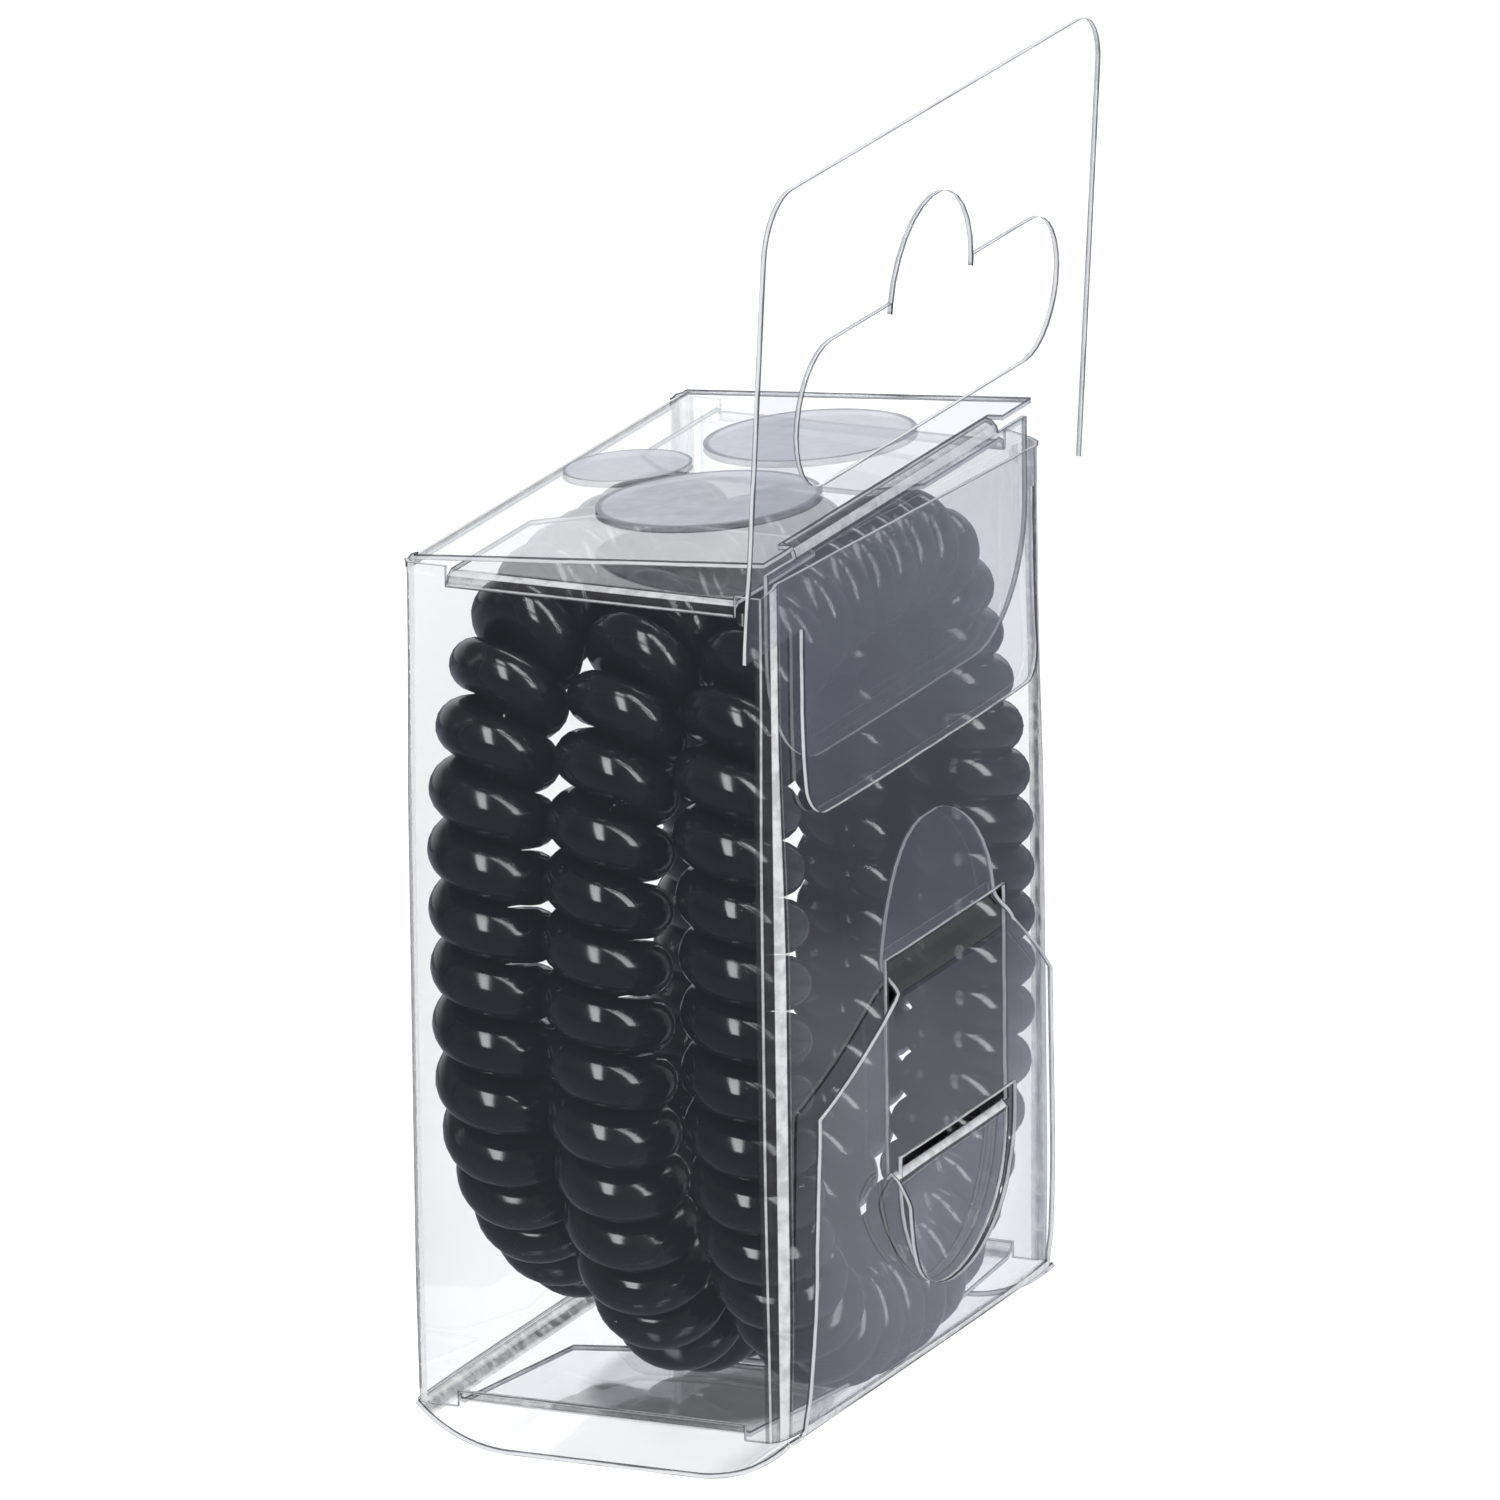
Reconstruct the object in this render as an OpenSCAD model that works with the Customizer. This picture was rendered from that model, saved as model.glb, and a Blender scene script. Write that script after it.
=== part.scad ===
// Three spiral hair ties, squeezed to ovals, standing side by side in a clear folded hang box.
// Millimetres. X runs across the row of ties towards the hang tab, Y along the depth, Z up.
// The origin lies under the middle of the box, on the surface that its sagging bottom rests on.

/* [Hair ties] */
// Outer diameter of a tie's coil
coil_d = 6.3; // [5.5:0.1:8]
// Diameter of the round cord that the coil is wound from
cord_d = 2.4; // [1.8:0.1:2.5]
// Turns of the coil round one tie
turns = 33; // [26:1:33]
// Width of a squeezed tie, along the depth of the box
oval_w = 34; // [30:0.5:38]
// Height of a squeezed tie
oval_h = 45; // [43:0.5:54]
// Outer radius of the oval at its top and bottom
oval_end_r = 13; // [11:0.5:14]

/* [Clear sheet] */
// Thickness of the clear sheet
sheet_t = 0.3; // [0.2:0.05:0.4]
// Outside radius of the four upright creases
crease_r = 0.8; // [0.6:0.1:1.2]
// Outside radius of the folded edges of the lid and the dust flaps
fold_r = 0.8; // [0.6:0.1:1]

/* [Clearances] */
// Between neighbouring ties
tie_gap = 0.1; // [0.05:0.05:0.3]
// Between the first tie and the wall beside it
side_gap = 0.2; // [0.1:0.05:0.5]
// Between a tie and the narrow walls
end_gap = 0.2; // [0.1:0.05:0.5]
// Between the ties and the dust flaps over them
top_gap = 0.3; // [0.2:0.05:1]
// Between the last tie and the tuck flap
tie_tuck_gap = 0.5; // [0.5:0.05:1]
// Between the tuck flap and the front panel
tuck_gap = 0.3; // [0.3:0.05:0.5]
// Between two panels that meet at a crease, and under the ties
seam = 0.05; // [0.03:0.01:0.08]

/* [Lid] */
// How far the lid stands open at rest, in degrees
lid_lift = 4.4; // [0:0.2:5]
// How far the tuck flap reaches down from the lid's fold
tuck_len = 12; // [9:0.5:12]
// Length of the fold between the lid and the tuck flap
tuck_fold_w = 26; // [18:1:28]
// Radius of the tuck flap's lower corners
tuck_corner_r = 7; // [2:0.5:7]
// Clearance along the depth between the lid and the narrow walls' outsides
lid_inset = 0.3; // [0.1:0.1:0.6]
// Clearance between the tuck flap's ends and the narrow walls
tuck_end_gap = 0.6; // [0.4:0.1:1.5]
// Width of the slits that part the tuck fold from the lid's corner strips
slit_w = 0.5; // [0.3:0.1:1]

/* [Dust flaps] */
// Reach of each top dust flap from the narrow wall
top_flap_len = 13; // [8:0.5:15]
// Gap between the two bottom dust flaps where they meet
bottom_flap_gap = 1; // [0.5:0.5:8]
// Size of the slants at the dust flaps' free corners
flap_corner = 2.5; // [0.5:0.1:4]
// How far the bottom dust flaps hang down where they meet
bottom_flap_drop = 1.1; // [0.6:0.1:1.4]
// How far the top dust flaps lie under the lid
flap_under = 0.25; // [0.15:0.05:0.5]
// Room beside the dust flaps' folds, at the back panel and at the front panel
flap_back_gap = 2.6; // [1.2:0.1:4]
flap_front_gap = 2.2; // [2.1:0.1:4]

/* [Bottom and lock flap] */
// How far the bottom sheet sags below the walls
sag = 2.4; // [2:0.1:3]
// Width of each curved side of the sagging bottom
sag_run = 5.2; // [4:0.2:6.5]
// Width of the lock flap where it leaves the bottom
lock_w = 31.5; // [26:0.5:33]
// How much narrower the lock flap is at each shoulder
lock_taper = 0.8; // [0:0.1:2]
// Gap between the lock flap's fold and the front panel
lock_gap = 0.2; // [0.15:0.05:0.3]
// Lean of the lock flap away from the panel, in degrees
lock_lean = 1.5; // [0:0.1:2]
// Height of the lock flap's shoulders over the walls' lower edge
shoulder_h = 16.9; // [14:0.1:17.5]
// Width of the lock's tongue and of the lock flap's window
lock_tongue_w = 15; // [12:0.5:16]
// Height of the tongue's lower end over the walls' lower edge, where it leaves the shoulders
tongue_foot_h = 21.4; // [21:0.1:22]
// Length of the tongue's straight sides, between that end and its round tip
tongue_side = 0.2; // [0.1:0.1:2]
// How far the lock flap's half-round window reaches above the lower edge of the front panel's window
lock_hole_over = 1.1; // [0.9:0.1:1.5]
// Clearance of the half-round tab in the lock flap's window
lock_tab_clear = 0.3; // [0.2:0.05:0.8]
// Bend radius of that tab's fold, along the middle of the sheet
lock_tab_fold_r = 0.3; // [0.25:0.05:0.4]
// Bend radius at the foot of the lock flap, along the middle of the sheet
lock_fold_r = 0.6; // [0.4:0.1:0.8]
// Bend radius of the tongue where it turns in and up, along the middle of the sheet
tongue_bend_r = 1; // [0.6:0.1:1.2]
// Clearance on each side of the tongue in the front panel's window
tongue_clear = 0.25; // [0.1:0.05:0.6]
// Height of the lower edge of the front panel's window
window_low_h = 11.5; // [10.5:0.1:13]
// How far the front panel's window reaches above the tongue's lower end
window_over = 1.8; // [1.7:0.1:2.6]
// How far the window and the tongue stand off the middle, along the depth
lock_shift = 1; // [-1:0.1:1.5]

/* [Hang tab] */
// Width of the hang tab
tab_w = 43; // [38:0.5:46]
// Height of the hang tab over the walls
tab_h = 22.2; // [18:0.2:26]
// Radius of the hang tab's upper corners
tab_corner_r = 3; // [1:0.5:5]
// Lean of the hang tab away from the box, in degrees
tab_lean = 3.5; // [0:0.5:6]
// How far the hang tab reaches down past the walls' upper edge before it narrows
tab_drop = 2.3; // [1:0.1:4]
// Width and reach of the narrower strip that holds the tab to the front panel
strip_w = 29.6; // [24:0.2:32]
strip_len = 12.4; // [8:0.2:14]
// Radius of that strip's lower corners
strip_corner_r = 1.8; // [0.5:0.1:3]
// How far the strip and the hang slot stand off the middle, along the depth
slot_shift = 0.5; // [-1:0.1:1]
// Width of the hang slot
slot_w = 33.5; // [28:0.5:34]
// Height of the hang slot at its ends
slot_bar_h = 7.7; // [5:0.1:8]
// Whole height of the hang slot, with the hump in its middle
slot_h = 12.3; // [10:0.1:12.5]
// Width of that hump
hump_w = 10.4; // [8:0.1:11]
// Height of the hang slot's lower edge over the walls
slot_low_h = 5; // [3:0.2:6]

/* [Hidden] */

tie_count = 3;
steps_per_turn = 10;
cord_sides = 6;
clear_color = [0.86, 0.90, 0.93, 0.35];
cord_color = [0.05, 0.05, 0.06];
deg = 180 / PI;
// Largest turn of a fold between two points of its outline, in degrees
bend_step = 12;
// Cutters run this far past what they cut
past = 1;
$fn = 64;

// Box, worked out from the ties that it holds
inner_w = side_gap + tie_count * coil_d + (tie_count - 1) * tie_gap + tie_tuck_gap + sheet_t + tuck_gap;
inner_d = oval_w + 2 * end_gap;
box_w = inner_w + 2 * sheet_t;
box_d = inner_d + 2 * sheet_t;
wall_low = sag;
flap_low = wall_low - bottom_flap_drop;
tie_low = flap_low + sheet_t + seam;
tie_high = tie_low + oval_h;
wall_top = tie_high + top_gap + sheet_t + flap_under;
front_x = box_w / 2;
tongue_tip_h = tongue_foot_h + tongue_side + lock_tongue_w / 2;
window_w = lock_tongue_w + 2 * tongue_clear;
window_high_h = tongue_foot_h + window_over;

// Cut-outs of the narrow walls that the dust flaps' folds start from
flap_w = box_w - flap_back_gap - flap_front_gap;
flap_fold_z = wall_top - flap_under - fold_r;

// Middle of the first tie's coil, and the step from tie to tie
first_tie_x = -inner_w / 2 + side_gap + coil_d / 2;
tie_step = coil_d + tie_gap;

// Folds of the lid: both turn about the ends of a bend
hinge_z = wall_top + seam + sheet_t - fold_r;
fold_under = fold_r - sheet_t;
lid_reach = (inner_w / 2 - tuck_gap - fold_r + box_w / 2 + fold_under * sin(lid_lift)) / cos(lid_lift);
tuck_axis_x = -box_w / 2 + lid_reach * cos(lid_lift) - fold_under * sin(lid_lift);
tuck_axis_z = hinge_z + lid_reach * sin(lid_lift) + fold_under * cos(lid_lift);
lid_d = box_d - 2 * lid_inset;
tuck_w = inner_d - 2 * tuck_end_gap;

// Oval of a tie: two side arcs and two end arcs that meet in one direction
half_w = oval_w / 2;
half_h = oval_h / 2;
end_rise = half_h - oval_end_r;
side_r = (half_w * half_w + end_rise * end_rise - oval_end_r * oval_end_r) / (2 * (half_w - oval_end_r));
side_back = side_r - half_w;
side_half = atan2(end_rise, side_back);
side_in_r = side_r - coil_d;
end_in_r = oval_end_r - coil_d;
side_run = side_in_r * side_half / deg;
end_run = end_in_r * (90 - side_half) / deg;
inside_run = 4 * (side_run + end_run);
wind_r = (coil_d - cord_d) / 2;

function unit(v) = v / norm(v);

// Rectangle with round corners, made of exact pieces
module round_rect(w, d, r) {
    square([w - 2 * r, d], center = true);
    square([w, d - 2 * r], center = true);
    for (x = [-1, 1], y = [-1, 1])
        translate([x * (w / 2 - r), y * (d / 2 - r)]) circle(r);
}

// Stations [x, y, heading] along the middle of a folded sheet, from rows of [run, turn, bend radius].
// A bend that follows the last one at once has no run
function stations(folds, at, heading, i = 0) =
    i == len(folds) ? [] :
    let (run = folds[i][0],
         turn = folds[i][1],
         r = folds[i][2] * sign(turn),
         foot = [at.x + run * cos(heading), at.y + run * sin(heading)],
         hub = [foot.x - r * sin(heading), foot.y + r * cos(heading)],
         steps = ceil(abs(turn) / bend_step),
         bend = [for (k = [run > 0 ? 0 : 1 : steps])
                    let (a = heading + turn * k / max(steps, 1))
                    [hub.x + r * sin(a), hub.y - r * cos(a), a]],
         last = bend[len(bend) - 1])
    concat(bend, stations(folds, [last.x, last.y], heading + turn, i + 1));

// Outline of a folded sheet, seen on its edge
module folded_sheet(folds, at, heading) {
    path = concat([[at.x, at.y, heading]], stations(folds, at, heading));
    left = [for (s = path) [s.x - sheet_t / 2 * sin(s[2]), s.y + sheet_t / 2 * cos(s[2])]];
    right = [for (k = [len(path) - 1 : -1 : 0])
                [path[k].x + sheet_t / 2 * sin(path[k][2]), path[k].y - sheet_t / 2 * cos(path[k][2])]];
    polygon(concat(left, right));
}

// Extrude an outline drawn in X and Z along the depth
module along_depth(d) {
    translate([0, d / 2, 0]) rotate([90, 0, 0]) linear_extrude(d) children();
}

// Extrude an outline drawn in Y and Z across the width, from x to x + w
module across(x, w) {
    translate([x, 0, 0]) rotate([90, 0, 90]) linear_extrude(w) children();
}

// Four walls creased from one sheet; the front one has the window, the narrow ones make room for dust flaps
module sleeve() {
    color(clear_color)
    difference() {
        translate([0, 0, wall_low]) linear_extrude(wall_top - wall_low) difference() {
            round_rect(box_w, box_d, crease_r);
            round_rect(inner_w, inner_d, crease_r - sheet_t);
        }
        // Window in the front panel
        across(front_x - sheet_t - past, sheet_t + 2 * past)
            translate([lock_shift - window_w / 2, wall_low + window_low_h])
            square([window_w, window_high_h - window_low_h]);
        // Lower edge of the front panel, clear of the bottom sheet's fold
        translate([front_x - crease_r, -box_d / 2 - past, wall_low - past])
            cube([crease_r + past, box_d + 2 * past, past + lock_gap]);
        // Back panel ends under the lid's fold
        translate([-front_x - past, -box_d / 2 + crease_r, hinge_z - seam])
            cube([past + crease_r, box_d - 2 * crease_r, wall_top]);
        // Narrow walls end where their dust flaps fold in
        for (side = [-1, 1]) {
            y = side > 0 ? box_d / 2 - crease_r : -box_d / 2 - past;
            translate([-front_x + flap_back_gap, y, flap_fold_z - seam])
                cube([flap_w, crease_r + past, wall_top]);
            translate([-front_x + flap_back_gap, y, wall_low - past])
                cube([flap_w, crease_r + past, past + fold_r + seam]);
        }
    }
}
// Dust flap that folds in from the top of the narrow wall on one side of the depth
module top_dust_flap(side) {
    mid_r = fold_r - sheet_t / 2;
    color(clear_color)
    intersection() {
        dust_flap_strip(side)
            folded_sheet([[0, -90, mid_r], [top_flap_len - fold_r, 0, 0]],
                         [-box_d / 2 + sheet_t / 2, flap_fold_z], 90);
        dust_flap_plan(side, top_flap_len);
    }
}

// Dust flap that folds in from the foot of the narrow wall and hangs down towards the middle
module bottom_dust_flap(side) {
    mid_r = fold_r - sheet_t / 2;
    len = box_d / 2 - bottom_flap_gap / 2;
    slope = atan2(bottom_flap_drop, len - fold_r);
    color(clear_color)
    intersection() {
        dust_flap_strip(side)
            folded_sheet([[0, 90 - slope, mid_r], [(len - fold_r) / cos(slope), 0, 0]],
                         [-box_d / 2 + sheet_t / 2, wall_low + fold_r], -90);
        dust_flap_plan(side, len);
    }
}

// Extrude a dust flap's edge outline, in Y and Z, over the width of its fold
module dust_flap_strip(side) {
    across(-front_x + flap_back_gap + seam, flap_w - 2 * seam) mirror([side > 0 ? 1 : 0, 0]) children();
}

// Upright prism over the plan of a dust flap of this length, whose free corners are cut off at a slant
module dust_flap_plan(side, len) {
    low = -front_x + flap_back_gap;
    high = front_x - flap_front_gap;
    linear_extrude(wall_top)
        mirror([0, side > 0 ? 1 : 0])
        polygon([[low, -box_d / 2], [high, -box_d / 2], [high, -box_d / 2 + len - flap_corner],
                 [high - flap_corner, -box_d / 2 + len], [low + flap_corner, -box_d / 2 + len],
                 [low, -box_d / 2 + len - flap_corner]]);
}

// Sagging bottom, creased up the outside of the front panel into the lock flap, whose tongue enters the window
module bottom_lock_flap() {
    from = [-front_x + sheet_t / 2, wall_low - seam];
    dip = from.y - sheet_t / 2;
    side_angle = 2 * atan(dip / sag_run);
    sag_r = sag_run / sin(side_angle);
    up_turn = 90 - lock_lean - side_angle;
    up_width = lock_fold_r * (sin(90 - lock_lean) - sin(side_angle));
    flap_x = front_x + lock_gap + sheet_t / 2;
    flat = flap_x - from.x - 2 * sag_run - up_width;
    foot_z = from.y + lock_fold_r * (cos(side_angle) - cos(90 - lock_lean));
    // The tongue turns in through the window, then runs up inside the panel
    in_turn = 45;
    bend_z = wall_low + tongue_foot_h - sheet_t;
    bend_run = (bend_z - foot_z) / cos(lock_lean);
    bend_x = flap_x + bend_run * sin(lock_lean);
    inside_x = front_x - sheet_t - tuck_gap / 2 - sheet_t / 2;
    arcs_in = tongue_bend_r * (cos(lock_lean) + 1 - 2 * cos(in_turn));
    cross_run = (bend_x - inside_x - arcs_in) / sin(in_turn);
    rise = tongue_tip_h + wall_low;
    profile = [[0, side_angle, sag_r], [flat, side_angle, sag_r], [0, up_turn, lock_fold_r],
               [bend_run, in_turn + lock_lean, tongue_bend_r], [cross_run, -in_turn, tongue_bend_r],
               [rise, 0, 0]];
    color(clear_color)
    difference() {
        intersection() {
            along_depth(box_d) folded_sheet(profile, from, -side_angle);
            union() {
                // Bottom
                translate([-front_x - past, -inner_d / 2, -past])
                    cube([2 * (front_x + past), inner_d, past + wall_low - seam / 2]);
                // Lock flap and tongue
                across(0, box_w) lock_outline();
            }
        }
        // Window through the lock flap
        across(front_x, box_w) round_foot(lock_tongue_w / 2, lock_hole_over);
    }
}

// Outline of the lock flap and its tongue, in Y and Z
module lock_outline() {
    tongue_r = lock_tongue_w / 2;
    low = wall_low - 2 * seam;
    half = lock_w / 2;
    foot = wall_low + tongue_foot_h;
    translate([lock_shift, foot + tongue_side]) circle(tongue_r);
    polygon([[-half, low], [half, low], [half - lock_taper, wall_low + shoulder_h],
             [lock_shift + tongue_r, foot],
             [lock_shift + tongue_r, foot + tongue_side],
             [lock_shift - tongue_r, foot + tongue_side],
             [lock_shift - tongue_r, foot],
             [-half + lock_taper, wall_low + shoulder_h]]);
}

// Half disc below the lower edge of the front panel's window, carried on straight to this height above it
module round_foot(r, over) {
    translate([lock_shift, wall_low + window_low_h]) intersection() {
        union() {
            circle(r);
            translate([-r, 0]) square([2 * r, r]);
        }
        translate([-r, -r]) square([2 * r, r + over]);
    }
}

// Half-round tab, cut from the front panel's window and folded down outside through the lock flap's window
module lock_tab() {
    r = lock_tongue_w / 2 - lock_tab_clear;
    color(clear_color)
    intersection() {
        along_depth(box_d)
            folded_sheet([[0, -180, lock_tab_fold_r], [r + seam, 0, 0]],
                         [front_x - sheet_t / 2, wall_low + window_low_h + seam], 90);
        across(front_x - past, 2 * past) round_foot(r, past);
    }
}

// Strip on the outside of the front panel and the hang tab that leans away above it
module hang_tab() {
    x = front_x + seam;
    bend_z = wall_top - tab_drop;
    color(clear_color) {
        across(x, sheet_t) translate([slot_shift, bend_z]) strip_outline();
        translate([x, 0, bend_z]) rotate([0, tab_lean, 0])
            across(0, sheet_t) tab_outline();
    }
}

// Strip below the tab's bend, which lies at height 0
module strip_outline() {
    len = strip_len - tab_drop;
    half = strip_w / 2;
    r = strip_corner_r;
    translate([-half, -len + r]) square([strip_w, len - r]);
    translate([-half + r, -len]) square([strip_w - 2 * r, r]);
    for (y = [-1, 1]) translate([y * (half - r), -len + r]) circle(r);
}

// Tab above its bend, which lies at height 0
module tab_outline() {
    top = tab_drop + tab_h;
    half = tab_w / 2;
    r = tab_corner_r;
    difference() {
        union() {
            translate([-half, 0]) square([tab_w, top - r]);
            translate([-half + r, top - r]) square([tab_w - 2 * r, r]);
            for (y = [-1, 1]) translate([y * (half - r), top - r]) circle(r);
        }
        translate([slot_shift, tab_drop + slot_low_h]) hang_slot();
    }
}

// Hang slot: a bar with round ends and a round-topped hump in its middle
module hang_slot() {
    r = slot_bar_h / 2;
    for (y = [-1, 1]) translate([y * (slot_w / 2 - r), r]) circle(r);
    translate([-slot_w / 2 + r, 0]) square([slot_w - 2 * r, slot_bar_h]);
    translate([-hump_w / 2, r]) square([hump_w, slot_h - hump_w / 2 - r]);
    translate([0, slot_h - hump_w / 2]) circle(hump_w / 2);
}

// Lid, drawn closed about its hinge and then lifted
module lid() {
    mid_r = fold_r - sheet_t / 2;
    fold_half = box_d / 2 - crease_r - seam;
    color(clear_color)
    translate([-front_x, 0, hinge_z]) rotate([0, -lid_lift, 0])
    difference() {
        along_depth(lid_d)
            folded_sheet([[0, -90, mid_r], [lid_reach, 0, 0]], [sheet_t / 2, 0], 90);
        // Room for the tuck flap's fold, with a slit at each end
        translate([lid_reach - seam, -tuck_fold_w / 2 - slit_w, 0])
            cube([fold_r + past, tuck_fold_w + 2 * slit_w, fold_r + past]);
        // Lid's fold is narrower than the back panel's crease
        for (side = [-1, 1])
            translate([-past, side * (fold_half + lid_d / 2) - lid_d / 2, -past])
                cube([past + fold_r, lid_d, 2 * past + fold_r]);
    }
}

// Tuck flap: a fold that carries on from the lid, and a round-cornered panel down behind the front panel
module tuck_flap() {
    mid_r = fold_r - sheet_t / 2;
    drop = tuck_len - fold_r;
    low = -tuck_len + sheet_t;
    shoulder = -fold_under;
    r = tuck_corner_r;
    half = tuck_w / 2;
    color(clear_color)
    translate([tuck_axis_x, 0, tuck_axis_z])
    intersection() {
        along_depth(tuck_w)
            folded_sheet([[0, -90, mid_r], [drop, 0, 0]], [0, sheet_t / 2], 0);
        union() {
            translate([-past, -tuck_fold_w / 2, shoulder]) cube([2 * fold_r + past, tuck_fold_w, fold_r + past]);
            across(-past, 2 * fold_r + past) {
                translate([-half, low + r]) square([tuck_w, shoulder - low - r]);
                translate([-half + r, low]) square([tuck_w - 2 * r, r]);
                intersection() {
                    for (y = [-1, 1]) translate([y * (half - r), low + r]) circle(r);
                    translate([-half, low]) square([tuck_w, shoulder - low]);
                }
            }
        }
    }
}

// Direction, in the oval's plane, in which a tie's coil faces out once its inner side has run this far
function facing(run) =
    let (top = side_run, left = side_run + 2 * end_run, bottom = left + 2 * side_run, right = bottom + 2 * end_run)
    run < top ? run / side_in_r * deg :
    run < left ? side_half + (run - top) / end_in_r * deg :
    run < bottom ? 180 - side_half + (run - left) / side_in_r * deg :
    run < right ? 180 + side_half + (run - bottom) / end_in_r * deg :
    360 - side_half + (run - right) / side_in_r * deg;

// Middle of the coil where it faces this way, in Y and Z about the oval's middle
function coil_middle(a) =
    abs(cos(a)) > cos(side_half)
        ? [(side_r - coil_d / 2) * cos(a) - side_back * sign(cos(a)), (side_r - coil_d / 2) * sin(a)]
        : [(oval_end_r - coil_d / 2) * cos(a), (oval_end_r - coil_d / 2) * sin(a) + end_rise * sign(sin(a))];

// Middle of the cord after this many turns of the coil
function cord_middle(turn) =
    let (a = facing((turn % turns + turns) % turns / turns * inside_run),
         c = coil_middle(a),
         out = wind_r * cos(360 * turn))
    [wind_r * sin(360 * turn), c.x + out * cos(a), c.y + out * sin(a)];

// Ring of points round the cord after this many turns
function cord_ring(turn) =
    let (a = facing((turn % turns + turns) % turns / turns * inside_run),
         out = [sin(360 * turn), cos(360 * turn) * cos(a), cos(360 * turn) * sin(a)],
         step = 0.5 / steps_per_turn,
         ahead = unit(cord_middle(turn + step) - cord_middle(turn - step)),
         beside = unit(cross(ahead, out)))
    [for (k = [0 : cord_sides - 1])
        cord_middle(turn) + cord_d / 2 * (cos(360 * k / cord_sides) * out + sin(360 * k / cord_sides) * beside)];

// One tie: a cord wound into an endless coil that follows the oval
module hair_tie(number) {
    rings = turns * steps_per_turn;
    points = [for (i = [0 : rings - 1]) each cord_ring(i / steps_per_turn)];
    faces = [for (i = [0 : rings - 1], k = [0 : cord_sides - 1])
                let (here = i * cord_sides,
                     next = (i + 1) % rings * cord_sides,
                     l = (k + 1) % cord_sides)
                each [[here + k, next + k, next + l], [here + k, next + l, here + l]]];
    color(cord_color)
        translate([first_tie_x + (number - 1) * tie_step, 0, tie_low + half_h])
        polyhedron(points, faces);
}

sleeve();
top_dust_flap(-1);  // top_dust_flap_near
top_dust_flap(1);  // top_dust_flap_far
bottom_dust_flap(-1);  // bottom_dust_flap_near
bottom_dust_flap(1);  // bottom_dust_flap_far
bottom_lock_flap();
lock_tab();
hang_tab();
lid();
tuck_flap();
hair_tie(1);  // hair_tie_1
hair_tie(2);  // hair_tie_2
hair_tie(3);  // hair_tie_3
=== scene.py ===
"""Looks of three spiral hair ties standing side by side in their clear hang box."""

import math

import bpy
import numpy as np
from mathutils import Matrix, Vector
from mathutils.geometry import delaunay_2d_cdt

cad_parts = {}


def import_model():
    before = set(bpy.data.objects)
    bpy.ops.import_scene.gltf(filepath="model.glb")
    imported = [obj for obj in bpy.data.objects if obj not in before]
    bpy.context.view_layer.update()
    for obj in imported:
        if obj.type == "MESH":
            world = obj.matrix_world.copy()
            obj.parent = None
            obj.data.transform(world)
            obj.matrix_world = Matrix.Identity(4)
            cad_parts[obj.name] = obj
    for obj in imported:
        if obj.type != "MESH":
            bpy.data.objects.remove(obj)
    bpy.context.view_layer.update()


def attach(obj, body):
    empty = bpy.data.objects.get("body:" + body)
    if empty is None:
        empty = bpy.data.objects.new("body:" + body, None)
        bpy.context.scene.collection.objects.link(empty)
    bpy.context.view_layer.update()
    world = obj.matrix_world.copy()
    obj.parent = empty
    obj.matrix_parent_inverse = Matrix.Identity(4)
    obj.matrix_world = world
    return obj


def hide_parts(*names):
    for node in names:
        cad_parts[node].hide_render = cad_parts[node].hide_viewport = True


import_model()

# ---------------------------------------------------------------- camera
AZIMUTH = math.radians(24.0894)
ELEVATION = math.radians(15.9802)
ROLL = math.radians(-0.7414)
FAR = 1.5
PX_PER_MM = 19.2964
FRAME_PX = 1500
SENSOR = 36
AIM_Z, AIM_RIGHT, AIM_UP = 0.034, 0.0011889, -0.0001228


def direction(azimuth, elevation):
    """Direction from the box; the azimuth counts from the front to the right."""
    level = math.cos(elevation)
    return Vector((math.sin(azimuth) * level, -math.cos(azimuth) * level, math.sin(elevation)))


view = direction(AZIMUTH, ELEVATION)
flat_right = Vector((math.cos(AZIMUTH), math.sin(AZIMUTH), 0))
flat_up = view.cross(flat_right)
right = math.cos(ROLL) * flat_right + math.sin(ROLL) * flat_up
up = math.cos(ROLL) * flat_up - math.sin(ROLL) * flat_right
aim = Vector((0, 0, AIM_Z)) + AIM_RIGHT * right + AIM_UP * up

camera_data = bpy.data.cameras.new("camera")
camera_data.sensor_width = SENSOR
camera_data.sensor_height = SENSOR
camera_data.sensor_fit = "HORIZONTAL"
camera_data.lens = PX_PER_MM * 1000 * FAR * SENSOR / FRAME_PX
camera_data.clip_end = 20
camera = bpy.data.objects.new("camera", camera_data)
bpy.context.scene.collection.objects.link(camera)
place = Matrix((right, up, view)).transposed().to_4x4()
place.translation = aim + FAR * view
camera.matrix_world = place
bpy.context.scene.camera = camera
bpy.context.scene.view_settings.view_transform = "Standard"

# ---------------------------------------------------------------- sizes in millimetres, as in part.scad
MM = 0.001
T = 0.3
BOX_W, BOX_D = 21.0, 35.0
FRONT = BOX_W / 2
NARROW = BOX_D / 2
CREASE_R = 0.65
FOLD_R = 0.65
WALL_LOW, WALL_TOP = 2.4, 47.5
BACK_TOP = 47.0
HINGE_Z = 47.05
LID_REACH = 19.696
LID_LIFT = math.radians(4.4)
TUCK_X, TUCK_Z = 9.1, 49.06

# How the films are meshed and shaded
OUTLINE_STEP = 0.5  # longest side of a cut edge
BEND_STEPS = 16  # stations round a bend
ROW_GAP = 0.03  # rows this close to one of a crease's own rows are left out
BORDER_GAP = 0.16  # inner points this close to an outline are left out
CREASE_END = 3.0  # reach of a crease's marks, in half widths of the crease
PLAIN_SHARE = 0.65  # how much of the shading follows the folds alone, without the walls' bulge
SAME, TINY = 1e-6, 1e-9


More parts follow.
